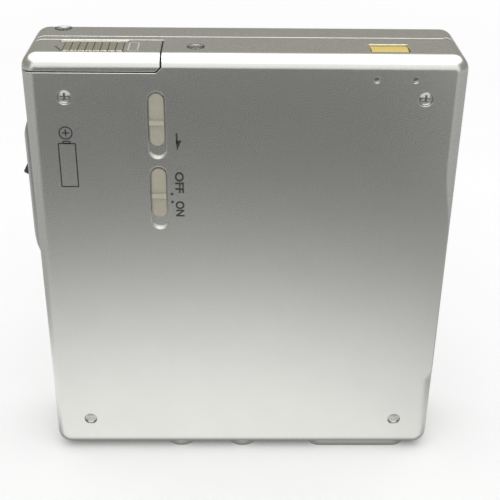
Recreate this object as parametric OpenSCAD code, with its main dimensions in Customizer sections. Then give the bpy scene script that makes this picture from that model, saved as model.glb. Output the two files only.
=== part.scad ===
// Portable minidisc recorder and player, standing on its jack end.
// Body coordinates: x across the case, y is depth from the underside (0) to the lid (body_t),
// z runs up the case from the jack end plane. in_frame() moves everything to the shared frame.

/* [Body] */
// Width of the case across the underside
body_w = 72.0; // [71:0.5:76]
// Length of the case from jack end to battery door end
body_l = 78.9; // [78.5:0.5:84]
// Thickness of the closed case
body_t = 17.1; // [17:0.1:19]
// Depth of the lower cover from the underside to the seam
cover_d = 9.8; // [9.6:0.1:10.2]
// Depth of the lid from the cover rim to its outer face
lid_d = 7.3; // [7.2:0.1:7.6]
// Sheet thickness of the cover and lid
wall = 0.9; // [0.7:0.05:1]
// Fillet along the outer edges
edge_r = 2.1; // [1.6:0.1:2.3]
// Plan radius of the case corners
corner_r = 2.6; // [2.5:0.1:3.4]

/* [Clearances] */
// Gap between the lid rim and the cover rim
seam = 0.3; // [0.2:0.05:0.5]
// Gap around the battery door
door_gap = 0.25; // [0.2:0.05:0.4]
// Radial running clearance of pins and shafts
run = 0.05; // [0.02:0.01:0.08]
// Gap around sliding knobs and keys
key_gap = 0.28; // [0.2:0.02:0.34]

/* [Slide switches] */
// Distance of the two slots from the middle of the case
slot_x = 14.5; // [14:0.1:15]
// Width of a slot
slot_w = 3.0; // [2.9:0.05:3.2]
// Length of a slot
slot_l = 11.8; // [11.6:0.1:12.2]
// Length of a knob
knob_l = 9.15; // [8.6:0.05:9.3]
// Travel of a knob
knob_travel = 1.9; // [1.6:0.05:2]
// Height of the hold slot's middle
hold_z = 67.1; // [66.5:0.1:67.6]
// Height of the record switch slot's middle
record_z = 53.85; // [53.2:0.1:54.4]

/* [Battery door] */
// Width of the door across the case
door_w = 22.3; // [22:0.1:24]
// How far the door wraps onto the underside
door_wrap = 2.65; // [2.62:0.02:2.8]
// Strip of the cover left between the battery door and the rim
door_rim = 1.8; // [1.6:0.05:2]
// Number of grip ribs on the door
rib_count = 10; // [6:1:12]

/* [Controls] */
// How far the control block stands out of the case
block_out = 1.5; // [1.3:0.1:1.8]
// How far the lever nub stands out of the case
lever_out = 2.2; // [2:0.1:2.6]
// Stroke of the keys
key_stroke = 0.4; // [0.3:0.05:0.5]

/* [Jack end] */
// How far the jack bosses stand out of the case
boss_h = 0.85; // [0.6:0.05:1.2]
// Diameter of a jack boss
boss_d = 6.0; // [5.8:0.1:6.4]
// Radius of the plug bores
plug_r = 1.8; // [1.76:0.01:1.85]

/* [Mechanism] */
// Radial travel of the pickup
sled_travel = 16.5; // [14:0.5:16.5]
// Radius of the guide rods
rod_r = 0.75; // [0.6:0.05:0.9]
// Radius of the turntable
table_r = 8.0; // [7:0.25:8.5]

/* [Hidden] */
$fn = 64;
// The layout is drawn for a case of this width, thickness and length, and stretches with the real one
plan = [72.0, cover_d + lid_d, 78.9];
hw = plan.x / 2;
hl = plan.z / 2;
rim_y = cover_d + seam;
in_x = hw - wall * plan.x / body_w;
in_z = plan.z - wall * plan.z / body_l;
in_y = plan.y - wall * plan.y / body_t;
// Corner screws and case terminals
screw_x = hw - 6.73;
screw_z = [6.47, plan.z - 7.04];
screw_head_r = 1.2;
screw_hole_r = 0.7;
terminal_x = [hw - 14.92, hw - 8.64];
terminal_z = plan.z - 3.8;
terminal_r = 0.45;
// Chassis frame inside the cover
ch_gap = 0.15;
ch_x = in_x - ch_gap;
ch_z1 = in_z - ch_gap;
ch_z0 = plan.z - ch_z1;
ch_t = 1.0;
ch_y0 = wall + 0.1;
ch_y1 = cover_d - 0.2;
// Battery and its compartment
bat_t = 6.1;
bat_len = 67.2;
bay_wall_x = -slot_x - 1.5;
bat_w = hw - slot_x - 4.5;
bat_x = bay_wall_x - 0.35 - bat_w / 2;
bat_y = 4.15;
bat_z0 = 8.6;
bat_top = bat_y + bat_t / 2 + 0.25;
// Bay for a cartridge of 68 x 5 x 72 mm, and the holder's side rails
bay_y0 = cover_d + 0.35;
bay_y1 = bay_y0 + 5.1;
bay_x0 = -hw + 0.96;
bay_x1 = bay_x0 + 68.1;
holder_x0 = bay_x0 + 0.74;
holder_x1 = bay_x1 - 0.16;
holder_y0 = cover_d + 0.05;
head_y = bay_y1 + 0.45;
bay_z0 = hl - 36.1;
bay_z1 = hl + 36.1;
// Lid hinge
hinge_x = hw - 2.0;
hinge_y = plan.y - 2.0;
barrel_r = 0.85;
pin_r = 0.45;
hinge_z0 = 18.5;
hinge_z1 = 48.0;
lug_l = 4.2;
lug_gap = 0.3;
lip_d = 2.1;
rear_step = 0.6;
// Small fasteners and the display window
end_screw_x = -8.1;
end_screw_y = 4.84;
lid_screw_x = -30.94;
lid_screw_y = plan.y - 2.6;
screw_end = 5.0;
screw_r = 0.55;
dome_h = 0.24;
end_head_r = 1.33;
end_head_h = 0.36;
lid_seat = 0.55;
window_x = -hw + 8.5;
window_z = 43.0;
window_w = 9.0;
window_l = 26.0;
// Slide knobs
slot_d = wall - 0.25;
rib_h = 0.25;
knob_off = 0.85;
stem_l = 3.0;
stem_w = 0.8;
// Battery door hinge
door_x1 = -hw + door_w;
door_z0 = plan.z - door_wrap;
door_d = cover_d - door_rim;
door_pin_y = door_d - 0.4;
door_pin_z = plan.z - 0.45;
door_pin_r = 0.18;
door_pin_l = 16.2;
door_knuckle_r = 0.4;
door_chamfer = 0.55;
slider_z = plan.z - 4.1;
tongue_z = plan.z - 7.4;
// Grip ribs on the door
rib_x0 = -hw + 7.1;
rib_span = 11.2;
rib_y = 4.2;
rib_w = 0.4;
rib_l = 4.6;
rib_depth = 0.28;
rib_lean = -22;
// Control block
block_z0 = 42.0;
block_z1 = 67.0;
block_ramp = 4.5;
key_z = [46.3, 50.7];
key_l = 3.3;
key_back = 1.4;
key_w = 2.6;
lever_half = 2.6;
record_key_z = 62.3;
record_key_r = 1.0;
opener_y = 6.1;
opener_z0 = 9.5;
opener_z1 = 21.5;
opener_stroke = 3.2;
block_y0 = 2.6;
block_y1 = cover_d - 0.3;
block_arc_r = 9.0;
block_arc_y = 6.6;
lever_z = 56.4;
// Jacks
jack_y = 4.0;
jack_end = 15.0;
line_x = -12.0;
mic_x = 0.0;
phones_x = 15.4;
remote_x = 22.8;
pill_x0 = 12.4;
pill_x1 = 32.3;
// Direct current socket
dc_x = hw - 12.6;
dc_y = 4.6;
dc_w = 6.0;
dc_h = 3.6;
dc_len = 13.0;
flap_r = 8.0;
flap_sink = 0.1;
flap_pin_l = 6.9;
flap_pin_y = dc_y + dc_h / 2 - 0.15;
flap_pin_z = plan.z - 0.55;
flap_pin_r = 0.25;
// Board and mechanism
board_y = 1.9;
board_t = 0.8;
plate_y = 4.4;
// Cross bars of the chassis under the plate
bar_z0 = [jack_end + 1.2, hl + 33];
plate_t = 0.8;
plate_y1 = plate_y + plate_t;
disc_z = hl;
lens_z = disc_z + 14.5;
sled_z0 = lens_z - 4.5;
sled_z1 = lens_z + 4.5;
rod_y = 7.0;
rod_x = 11.0;
lead_x = 15.5;
lead_y = 7.3;
lead_r = 1.0;
motor_r = 1.85;
motor_z0 = disc_z - 2.5;
motor_z1 = disc_z + 7.5;
bracket_z0 = disc_z + 8.0;
bracket_z1 = sled_z1 + sled_travel + 0.9;
spindle_r = 0.75;

// Names of the separate pieces
// Piece to build, or all of them

function px(x) = x * body_w / plan.x;
function py(y) = y * body_t / plan.y;
function pz(z) = z * body_l / plan.z;

module in_frame() {
    translate([px(lever_out) / 2, -body_t / 2, pz(boss_h)]) children();
}

// Moves children to a place in the layout
module at(x, y, z) {
    translate([px(x), py(y), pz(z)]) children();
}

module box(x0, x1, y0, y1, z0, z1) {
    at(x0, y0, z0) cube([px(x1 - x0), py(y1 - y0), pz(z1 - z0)]);
}

// Extrudes an (x, z) outline centred at a place, through the depth from y0 to y1
module slab(x, z, y0, y1) {
    at(x, y1, z) rotate([90, 0, 0]) linear_extrude(py(y1 - y0)) children();
}

// Extrudes a (y, z) outline centred at a place, along x
module slab_x(x0, x1, y, z) {
    at(x0, y, z) rotate([90, 0, 90]) linear_extrude(px(x1 - x0)) children();
}

module bar_x(x0, x1, y, z, r) {
    at(x0, y, z) rotate([0, 90, 0]) cylinder(h = px(x1 - x0), r = r);
}

module bar_y(x, z, y0, y1, r) {
    at(x, y1, z) rotate([90, 0, 0]) cylinder(h = py(y1 - y0), r = r);
}

module bar_z(x, y, z0, z1, r) {
    at(x, y, z0) cylinder(h = pz(z1 - z0), r = r);
}

module pill(len, wid) {
    translate([-wid / 2, -(len - wid) / 2]) square([wid, len - wid]);
    translate([0, (len - wid) / 2]) circle(d = wid);
    translate([0, -(len - wid) / 2]) circle(d = wid);
}

// Half section of a tray: r runs outward to the wall, the rim is at 0 and the floor at d
module wall_section(d) {
    translate([corner_r - wall, 0]) square([wall, d - edge_r]);
    translate([0, d - wall]) square([corner_r - edge_r, wall]);
    translate([corner_r - edge_r, d - edge_r]) intersection() {
        difference() {
            circle(edge_r);
            circle(edge_r - wall);
        }
        square(edge_r + 1);
    }
}

// Tray with filleted edges and round corners, rim at z = 0 and floor on top
module tray(d) {
    cx = body_w / 2 - corner_r;
    cz = body_l / 2 - corner_r;
    for (k = [0 : 3]) {
        sx = (k == 0 || k == 3) ? 1 : -1;
        sz = k < 2 ? 1 : -1;
        translate([sx * cx, sz * cz, 0]) rotate([0, 0, 90 * k]) rotate_extrude(angle = 90) wall_section(d);
    }
    for (a = [0, 180]) {
        rotate([0, 0, a]) translate([cx, cz, 0]) rotate([90, 0, 0])
            linear_extrude(2 * cz) wall_section(d);
        rotate([0, 0, a + 90]) translate([cz, cx, 0]) rotate([90, 0, 0])
            linear_extrude(2 * cx) wall_section(d);
    }
    translate([-cx, -cz, d - wall]) cube([2 * cx, 2 * cz, wall]);
}

module cover_form() {
    translate([0, py(cover_d), body_l / 2]) rotate([90, 0, 0]) tray(py(cover_d));
}

module lid_form() {
    translate([0, py(rim_y), body_l / 2]) rotate([-90, 0, 0]) tray(body_t - py(rim_y));
}

// Lower aluminium cover with its openings
module bottom_cover() {
    color([0.78, 0.78, 0.76]) difference() {
        union() {
            cover_form();
            box(hw - edge_r, hw - rear_step, 0, edge_r, hinge_z0, hinge_z1);
            box(in_x - 0.3, hw - rear_step, wall, cover_d, hinge_z0, hinge_z1);
        }
        box(hw - rear_step, hw + 1, -1, cover_d + 1, hinge_z0, hinge_z1);
        difference() {
            box(-hw - 1, door_x1 + door_gap, -1, door_d + door_gap, door_z0 - door_gap, plan.z + 1);
            door_corner(door_x1 + door_gap, door_z0 - door_gap, door_chamfer + door_gap * (sqrt(2) - 1));
        }
        for (sx = [-1, 1]) for (z = screw_z) {
            bar_y(sx * screw_x, z, -1, wall + 1, screw_hole_r);
            bar_y(sx * screw_x, z, -1, wall - 0.4, screw_head_r);
        }
        for (x = terminal_x) bar_y(x, terminal_z, -1, wall + 1, terminal_r + 0.05);
        for (z = [hold_z, record_z]) {
            slab(-slot_x, z, -1, slot_d) pill(slot_l, slot_w);
            slab(-slot_x, z + knob_off - knob_travel / 2, 0, wall + 1)
                pill(stem_l + knob_travel + 2 * key_gap, stem_w + 2 * key_gap);
        }
        box(-hw - 1, -hw + 2, block_y0 - 0.3, cover_d + 1, block_z0 - 0.3, block_z1 + 0.3);
        box(-hw - 1, -hw + 2, opener_y - 1.5, opener_y + 1.5,
            opener_z0 - 0.5, opener_z1 + opener_stroke + 0.3);
        box(dc_x - dc_w / 2 - 0.2, dc_x + dc_w / 2 + 0.2, dc_y - dc_h / 2 - 0.15, dc_y + dc_h / 2 + 0.3,
            in_z - 1, plan.z + 1);
        bar_x(dc_x - flap_pin_l / 2 - 0.05, dc_x + flap_pin_l / 2 + 0.05, flap_pin_y, flap_pin_z,
            flap_pin_r + run);
        bar_z(end_screw_x, end_screw_y, in_z - 1, plan.z + 1, 0.75);
        bar_z(end_screw_x, end_screw_y, plan.z - 0.4, plan.z + 1, end_head_r + 0.07);
        for (x = [line_x, mic_x]) bar_z(x, jack_y, -1, wall + 1, boss_d / 2 + 0.1);
        pill_boss(-1, wall + 1, 0.2);
    }
}

// Slanted inner corner shared by the battery door and its opening, at a distance from the square corner
module door_corner(x, z, distance) {
    at(x, 0, z) rotate([0, 45, 0]) cube([2 * distance, 4, 2 * distance], center = true);
}

// Long boss round the headphone and remote sockets, or the hole for it
module pill_boss(z0, z1, gap) {
    at((pill_x0 + pill_x1) / 2, jack_y, z0) linear_extrude(pz(z1 - z0)) rotate([0, 0, 90])
        pill(px(pill_x1 - pill_x0) + gap, boss_d + gap);
}

// Moulded inner frame that carries everything in the cover
module main_chassis() {
    color([0.2, 0.2, 0.21]) difference() {
        union() {
            slab(0, hl, edge_r, ch_y1) difference() {
                round_rect(px(2 * ch_x), pz(ch_z1 - ch_z0), corner_r - wall);
                square([px(2 * (ch_x - ch_t)), pz(ch_z1 - ch_z0 - 2 * ch_t)], center = true);
            }
            box(bay_wall_x, bay_wall_x + ch_t - 0.2, edge_r, ch_y1, ch_z0 + 0.2, ch_z1 - 0.2);
            box(bay_wall_x, bay_wall_x + ch_t - 0.2, ch_y0, edge_r + 0.1, ch_z0 + ch_t, ch_z1 - ch_t);
            box(-ch_x + 0.2, bay_wall_x, bat_top, ch_y1, ch_z0 + 1, slider_z - 0.8);
            for (z = bar_z0) box(bay_wall_x, ch_x - 0.2, plate_y - 1.2, plate_y, z, z + 2);
            box(ch_x - 3, ch_x - 0.2, board_y + board_t, plate_y, ch_z0 + 2, ch_z1 - 2);
            for (sx = [-1, 1]) for (z = screw_z) bar_y(sx * screw_x, z, ch_y0, ch_y1, 1.5);
            for (z = screw_z) box(screw_x, ch_x - 0.2, plate_y1 + 0.4, ch_y1, z - 0.6, z + 0.6);
        }
        for (sx = [-1, 1]) for (z = screw_z) bar_y(sx * screw_x, z, 0, screw_end, screw_r);
        box(-hw, bay_wall_x, -1, cover_d + 1, slider_z - 0.3, plan.z);
        box(bat_x - bat_w / 2 - 0.3, bat_x + bat_w / 2 + 0.3, -1, bat_top, bat_z0 - 0.3, plan.z);
        box(-hw, -hw + key_back + key_stroke + 1.25, block_y0 - 0.2, block_y1 + 0.1,
            block_z0 - 0.2, block_z1 + 0.2);
        box(-hw, -ch_x + ch_t + 1, opener_y - 1.9, opener_y + 1.9,
            opener_z0 - 1.0, opener_z1 + opener_stroke + 0.8);
        box(hinge_x - 1, hw, -1, cover_d + 1, hinge_z0 - 0.3, hinge_z1 + 0.3);
        box(dc_x - dc_w / 2 - 1, dc_x + dc_w / 2 + 1, -1, dc_y + dc_h / 2 + 1,
            plan.z - dc_len - 1.3, plan.z);
        bar_z(end_screw_x, end_screw_y, ch_z1 - 1.2, plan.z, screw_r);
        box(line_x - 3.7, screw_x - 1.8, -1, jack_y + 4.3, -1, jack_end + 1.2);
        box(-slot_x - 2, -slot_x + 2, -1, board_y, record_z - 7, hold_z + 7);
        box(bat_x - 8.5, bat_x + 5.5, door_d + 0.3, ch_y1 - 0.2, tongue_z - 0.3, slider_z + 0.2);
    }
}

// Front strip between the cover rim and the lid lip
module front_panel() {
    color([0.66, 0.67, 0.67]) {
        box(-hw, -hw + 0.95, cover_d + 0.1, plan.y - lip_d - seam, 3, plan.z - 3);
        box(-hw + 0.95, -hw + 1.55, ch_y1, cover_d + 0.25, 3, plan.z - 3);
    }
}

// Section of the bulged block across its length, about the front edge of the case
module block_section() {
    intersection() {
        translate([px(-block_out) + block_arc_r, py(block_arc_y)]) circle(block_arc_r);
        translate([px(-block_out) - 1, py(block_y0)])
            square([px(block_out + 1) + 1, py(block_y1 - block_y0)]);
    }
}

// Bulged block on the front that carries the lever and keys, ramped at both ends
module control_block() {
    color([0.66, 0.67, 0.67]) difference() {
        intersection() {
            at(-hw, 0, block_z0) linear_extrude(pz(block_z1 - block_z0)) block_section();
            at(-hw, cover_d, block_z0) rotate([90, 0, 0]) linear_extrude(py(cover_d)) polygon([[px(2), 0],
                [px(-0.1), 0], [px(-block_out - 0.1), pz(block_ramp)],
                [px(-block_out - 0.1), pz(block_z1 - block_z0 - block_ramp)],
                [px(-0.1), pz(block_z1 - block_z0)], [px(2), pz(block_z1 - block_z0)]]);
        }
        box(-hw - 4, -hw + 4, block_arc_y - 1.4, block_arc_y + 1.4,
            lever_z - lever_half - 0.3, lever_z + lever_half + 0.3);
        for (z = key_z) slab_x(-hw - 4, -hw + 4, block_arc_y, z)
            pill(key_l + 2 * key_gap, key_w + 2 * key_gap);
        bar_x(-hw - 4, -hw + 4, block_arc_y, record_key_z, record_key_r + key_gap);
        bar_y(-hw + 0.2, lever_z, block_arc_y - 1.9, block_arc_y + 1.9, 0.3 + run);
    }
}

// Rear strip between the cover rim and the lid, open where the hinge block stands
module rear_panel() {
    color([0.66, 0.67, 0.67]) for (z = [[3, hinge_z0 - 0.4], [hinge_z1 + 0.4, plan.z - 3]]) {
        box(hw - 0.95, hw, cover_d + 0.1, hinge_y - 1.6, z[0], z[1]);
        box(hw - 2.9, hw - 0.95, ch_y1, cover_d + 0.5, z[0], z[1]);
        box(hw - 2.75, hw - 2.35, cover_d + 0.4, hinge_y - 1.1, z[0] + 1, z[1] - 1);
    }
}

// Block inside the rear wall with the hinge barrel on top
module hinge_block() {
    color([0.7, 0.7, 0.7]) difference() {
        union() {
            box(hinge_x - 0.9, in_x - 0.45, edge_r, cover_d + 0.2, hinge_z0, hinge_z1);
            box(hinge_x - 0.6, hw - rear_step, cover_d + 0.1, hinge_y - 2.4, hinge_z0, hinge_z1);
            box(hinge_x - 0.6, hinge_x + 0.7, hinge_y - 3, hinge_y, hinge_z0, hinge_z1);
            bar_z(hinge_x, hinge_y, hinge_z0, hinge_z1, barrel_r);
        }
        bar_z(hinge_x, hinge_y, hinge_z0 - 1, hinge_z1 + 1, pin_r);
    }
}

module hinge_pin() {
    color([0.8, 0.8, 0.82])
        bar_z(hinge_x, hinge_y, hinge_z0 - lug_l - lug_gap, hinge_z1 + lug_l + lug_gap, pin_r);
}

// Plate behind the jack end, its bosses stand out through the cover
module jack_panel() {
    color([0.74, 0.74, 0.73]) difference() {
        union() {
            box(line_x - 3.6, screw_x - 1.9, edge_r, jack_y + 4, wall + 0.05, wall + 1.0);
            for (x = [line_x, mic_x]) bar_z(x, jack_y, -boss_h, wall + 0.1, boss_d / 2);
            pill_boss(-boss_h, wall + 0.1, 0);
        }
        for (x = [line_x, mic_x, phones_x]) bar_z(x, jack_y, -boss_h - 1, wall + 2, plug_r + 0.5);
        box(remote_x - 4.2, remote_x + 4.2, jack_y - 1.1, jack_y + 1.1, -boss_h - 1, wall + 2);
    }
}

module jack(x) {
    difference() {
        union() {
            bar_z(x, jack_y, -boss_h + 0.15, wall + 1.2, plug_r + 0.45);
            box(x - 3.1, x + 3.1, jack_y - 2.8, jack_y + 2.8, wall + 1.0, jack_end);
        }
        bar_z(x, jack_y, -boss_h - 1, jack_end - 1.2, plug_r);
    }
}

module phones_jack() {
    color([0.1, 0.1, 0.1]) jack(phones_x);
}

module line_in_jack() {
    color([0.1, 0.1, 0.1]) jack(line_x);
}

module mic_jack() {
    color([0.6, 0.12, 0.12]) jack(mic_x);
}

// Remote control socket beside the headphone jack, with its contact strips
module remote_contacts() {
    color([0.8, 0.65, 0.3]) {
        box(remote_x - 4.0, remote_x + 4.0, jack_y - 0.9, jack_y + 0.9, wall + 1.4, 8);
        for (k = [-1.5 : 1 : 1.5]) box(remote_x + 2 * k - 0.4, remote_x + 2 * k + 0.4, jack_y - 0.25,
            jack_y + 0.25, -boss_h + 0.5, wall + 1.5);
    }
}

// Shell of the power socket with a round bore
module dc_jack() {
    color([0.2, 0.2, 0.21]) difference() {
        box(dc_x - dc_w / 2 - 0.55, dc_x + dc_w / 2 + 0.55, dc_y - dc_h / 2 - 0.35, dc_y + dc_h / 2 + 0.55,
            plan.z - dc_len, in_z - 0.15);
        box(dc_x - dc_w / 2 - 0.2, dc_x + dc_w / 2 + 0.2, dc_y - dc_h / 2 - 0.15, dc_y + dc_h / 2 + 0.25,
            plan.z - dc_h - 0.8, plan.z + 1);
        bar_z(dc_x, dc_y - 0.3, plan.z - dc_len + 1.5, plan.z - dc_h - 0.4, 1.35);
    }
}

module dc_jack_pin() {
    color([0.75, 0.75, 0.75]) bar_z(dc_x, dc_y - 0.3, plan.z - dc_len + 1.5, plan.z - dc_h - 1.2, 0.5);
}

// Spring-closed dust flap over the power socket
module dc_flap() {
    color([0.88, 0.78, 0.3]) {
        intersection() {
            box(dc_x - dc_w / 2, dc_x + dc_w / 2, dc_y - dc_h / 2, flap_pin_y, plan.z - 0.75, plan.z);
            at(dc_x - dc_w, dc_y, plan.z - flap_sink) translate([0, 0, -flap_r]) rotate([0, 90, 0])
                cylinder(h = px(2 * dc_w), r = flap_r);
        }
        bar_x(dc_x - flap_pin_l / 2, dc_x + flap_pin_l / 2, flap_pin_y, flap_pin_z, flap_pin_r);
    }
}

// Printed circuit board under the mechanism
module main_board() {
    color([0.1, 0.32, 0.2]) difference() {
        box(-slot_x + 2.1, hw - 3.0, board_y, board_y + board_t, jack_end + 1.2, ch_z1 - 1.6);
        box(dc_x - dc_w / 2 - 1.2, hw, 0, plate_y, plan.z - dc_len - 1.5, plan.z);
    }
}

module board_chips() {
    color([0.13, 0.13, 0.14]) {
        box(-6, 6, board_y + board_t, board_y + board_t + 1.2, 22, 34);
        box(12, 21, board_y + board_t, board_y + board_t + 1.0, 24, 33);
        box(-8, -1, board_y + board_t, board_y + board_t + 0.9, 42, 52);
        box(8, 16, board_y + board_t, board_y + board_t + 1.1, 44, 54);
        for (x = [22 : 1.6 : 29]) box(x, x + 1, board_y + board_t, board_y + board_t + 0.7, 50, 52);
    }
}

module round_rect(w, h, r) {
    translate([-w / 2 + r, -h / 2]) square([w - 2 * r, h]);
    translate([-w / 2, -h / 2 + r]) square([w, h - 2 * r]);
    for (sx = [-1, 1]) for (sy = [-1, 1]) translate([sx * (w / 2 - r), sy * (h / 2 - r)]) circle(r);
}

module gumstick_battery() {
    color([0.75, 0.77, 0.8]) {
        at(bat_x, bat_y, bat_z0) linear_extrude(pz(bat_len - 0.8)) round_rect(px(bat_w), py(bat_t), 1.2);
        at(bat_x, bat_y, bat_z0 + bat_len - 0.8) linear_extrude(pz(0.8)) round_rect(5, 2.4, 1.0);
    }
}

// Bent contact leaf at the closed end of the battery compartment
module battery_spring() {
    color([0.8, 0.8, 0.8]) {
        box(bat_x - 2.5, bat_x + 2.5, bat_y - 2.2, bat_y + 3.3, ch_z0 + ch_t, ch_z0 + ch_t + 0.3);
        box(bat_x - 1.5, bat_x + 1.5, bat_y + 1.9, bat_y + 2.2, ch_z0 + ch_t + 0.2, bat_z0);
        box(bat_x - 1.5, bat_x + 1.5, bat_y - 1.5, bat_y + 2.0, bat_z0 - 0.3, bat_z0);
    }
}

// Two case terminals with their carrier strip
module case_terminals() {
    color([0.72, 0.62, 0.35]) {
        for (x = terminal_x) bar_y(x, terminal_z, wall / 2, board_y + 0.1, terminal_r);
        box(terminal_x[0] - 1, hw - 3.1, board_y, board_y + 0.4, terminal_z - 0.8, terminal_z + 0.8);
        box(hw - 4, hw - 3.1, board_y, board_y + board_t, terminal_z - 0.8, terminal_z + 0.8);
    }
}

// Domed head with a cross recess, its underside at z = 0
module screw_head(r, h) {
    bulge_r = (r * r + dome_h * dome_h) / (2 * dome_h);
    difference() {
        intersection() {
            cylinder(h = h, r = r);
            translate([0, 0, h - bulge_r]) sphere(bulge_r);
        }
        for (a = [0, 90]) rotate([0, 0, a]) translate([-r * 0.6, -0.17, h - 0.26]) cube([r * 1.2, 0.34, 1]);
    }
}

module corner_screws() {
    color([0.82, 0.82, 0.83]) for (sx = [-1, 1]) for (z = screw_z) {
        at(sx * screw_x, wall - 0.4, z) rotate([90, 0, 0]) screw_head(screw_head_r - 0.05, py(0.42));
        bar_y(sx * screw_x, z, wall - 0.45, sx < 0 && z > hl ? wall + 0.1 : screw_end, screw_r);
    }
}

module end_screw() {
    color([0.82, 0.82, 0.83]) {
        at(end_screw_x, end_screw_y, plan.z - 0.4) screw_head(end_head_r, end_head_h);
        bar_z(end_screw_x, end_screw_y, ch_z1 - 1.2, plan.z - 0.35, screw_r);
    }
}

// Pressed steel plate that carries the disc drive
module mechanism_plate() {
    color([0.7, 0.71, 0.72]) difference() {
        box(-13, hw - 4.6, plate_y, plate_y1, jack_end + 1.4, disc_z + 37);
        box(-8.5, 8.5, plate_y - 1, plate_y1 + 1, disc_z + 12, disc_z + 34);
        box(lead_x + 3, hw, plate_y - 1, plate_y1 + 1, plan.z - dc_len - 1.4, plan.z);
        bar_y(screw_x, screw_z[1], plate_y - 1, plate_y1 + 1, 1.9);
    }
}

module damper_bushes() {
    spots = [[-11.2, 18.4], [hw - 6.6, 18.4], [-11.2, disc_z + 4], [hw - 6.6, 61]];
    color([0.12, 0.12, 0.12]) for (p = spots) bar_y(p[0], p[1], plate_y1, plate_y1 + 1.2, 1.5);
}

// Coils and bearing of the disc motor
module spindle_stator() {
    color([0.7, 0.45, 0.25]) difference() {
        union() {
            bar_y(0, disc_z, plate_y1, plate_y1 + 0.6, 8.4);
            bar_y(0, disc_z, plate_y1, plate_y1 + 2.4, 1.7);
            for (k = [0 : 5]) at(0, plate_y1 + 1.3, disc_z) rotate([90, 60 * k, 0])
                translate([4.2, 0, 0]) cylinder(h = py(0.8), r = 1.6);
        }
        bar_y(0, disc_z, plate_y1 - 1, plate_y1 + 3, spindle_r + run);
    }
}

module rotor() {
    color([0.5, 0.51, 0.53]) {
        difference() {
            bar_y(0, disc_z, plate_y1 + 0.9, plate_y1 + 3.1, 8.9);
            bar_y(0, disc_z, plate_y1, plate_y1 + 2.7, 8.2);
        }
        bar_y(0, disc_z, plate_y1 + 0.2, plate_y1 + 2.8, spindle_r);
    }
}

// Turntable with a centring cone
module turntable() {
    color([0.2, 0.2, 0.2]) {
        bar_y(0, disc_z, plate_y1 + 3.1, plate_y1 + 3.8, table_r);
        at(0, plate_y1 + 4.7, disc_z) rotate([90, 0, 0]) cylinder(h = py(1.0), r1 = 2.0, r2 = 2.7);
    }
}

module sled_motor() {
    color([0.6, 0.6, 0.62]) difference() {
        union() {
            bar_z(lead_x, lead_y, motor_z0, motor_z1, motor_r);
            box(lead_x - 1.2, lead_x + 1.2, plate_y1, lead_y, motor_z0 + 1, motor_z1 - 1);
        }
        bar_z(lead_x, lead_y, motor_z1 - 4, motor_z1 + 1, 0.5 + run);
    }
}

module lead_screw() {
    color([0.8, 0.8, 0.8]) {
        bar_z(lead_x, lead_y, motor_z1 + 0.4, bracket_z1 - 0.9, lead_r);
        bar_z(lead_x, lead_y, motor_z1 - 3.8, bracket_z1 + 0.3, 0.5);
    }
}

module guide_rods() {
    color([0.85, 0.85, 0.86]) for (sx = [-1, 1])
        bar_z(sx * rod_x, rod_y, bracket_z0, bracket_z1 + 0.5, rod_r);
}

module rod_brackets() {
    color([0.25, 0.25, 0.26]) difference() {
        union() {
            for (sx = [-1, 1]) for (z = [bracket_z0, bracket_z1 - 0.7])
                box(sx * rod_x - 1.4, sx * rod_x + 1.4, plate_y1, rod_y + 1.4, z, z + 1.2);
            box(lead_x - 1.4, lead_x + 1.4, plate_y1, lead_y + 1.4, bracket_z1 - 0.7, bracket_z1 + 0.5);
        }
        for (sx = [-1, 1]) bar_z(sx * rod_x, rod_y, bracket_z0 - 1, bracket_z1 + 2, rod_r);
        bar_z(lead_x, lead_y, bracket_z0 - 1, bracket_z1 + 2, 0.5 + run);
    }
}

// Pickup sled that runs on the guide rods and is driven by the lead screw
module pickup_base() {
    color([0.3, 0.3, 0.32]) difference() {
        union() {
            box(-rod_x - 1.8, rod_x + 1.8, 5.7, rod_y + 1.4, sled_z0, sled_z1);
            box(rod_x + 1.0, lead_x + 1.8, lead_y - 1.6, lead_y + 1.4, sled_z0 + 2, sled_z1 - 2);
        }
        for (sx = [-1, 1]) bar_z(sx * rod_x, rod_y, sled_z0 - 1, sled_z1 + 1, rod_r + run);
        bar_z(lead_x, lead_y, sled_z0 - 1, sled_z1 + 1, lead_r + run);
        bar_y(0, lens_z, rod_y + 0.6, rod_y + 2, 1.6);
    }
}

module objective_lens() {
    color([0.35, 0.3, 0.6]) {
        bar_y(0, lens_z, rod_y + 0.6, rod_y + 1.9, 1.55);
        bar_y(0, lens_z, rod_y + 1.9, rod_y + 2.2, 1.1);
    }
}

// Bodies of the two slide switches beside the board
module slide_switches() {
    color([0.15, 0.15, 0.15]) for (z = [hold_z, record_z])
        box(-slot_x - 0.6, -slot_x + 2.1, board_y - 0.15, board_y + 1.7, z - 5, z + 5);
}

// Knob sunk in its slot, with a thumb rib, a stem through the cover and a flange behind it
module slide_knob(z) {
    slab(-slot_x, z, rib_h, slot_d - 0.08) pill(knob_l, slot_w - 2 * key_gap);
    slab(-slot_x, z, rib_h + 0.1, wall + 0.2) pill(stem_l, stem_w);
    slab(-slot_x, z, wall + 0.15, wall + 0.55) pill(stem_l + 2, slot_w - 0.4);
    box(-slot_x - 1.15, -slot_x + 1.15, 0, rib_h + 0.1, z - 0.75, z - 0.25);
}

module hold_knob() {
    color([0.85, 0.84, 0.8]) slide_knob(hold_z + knob_off);
}

module record_knob() {
    color([0.85, 0.84, 0.8]) slide_knob(record_z + knob_off);
}

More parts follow.
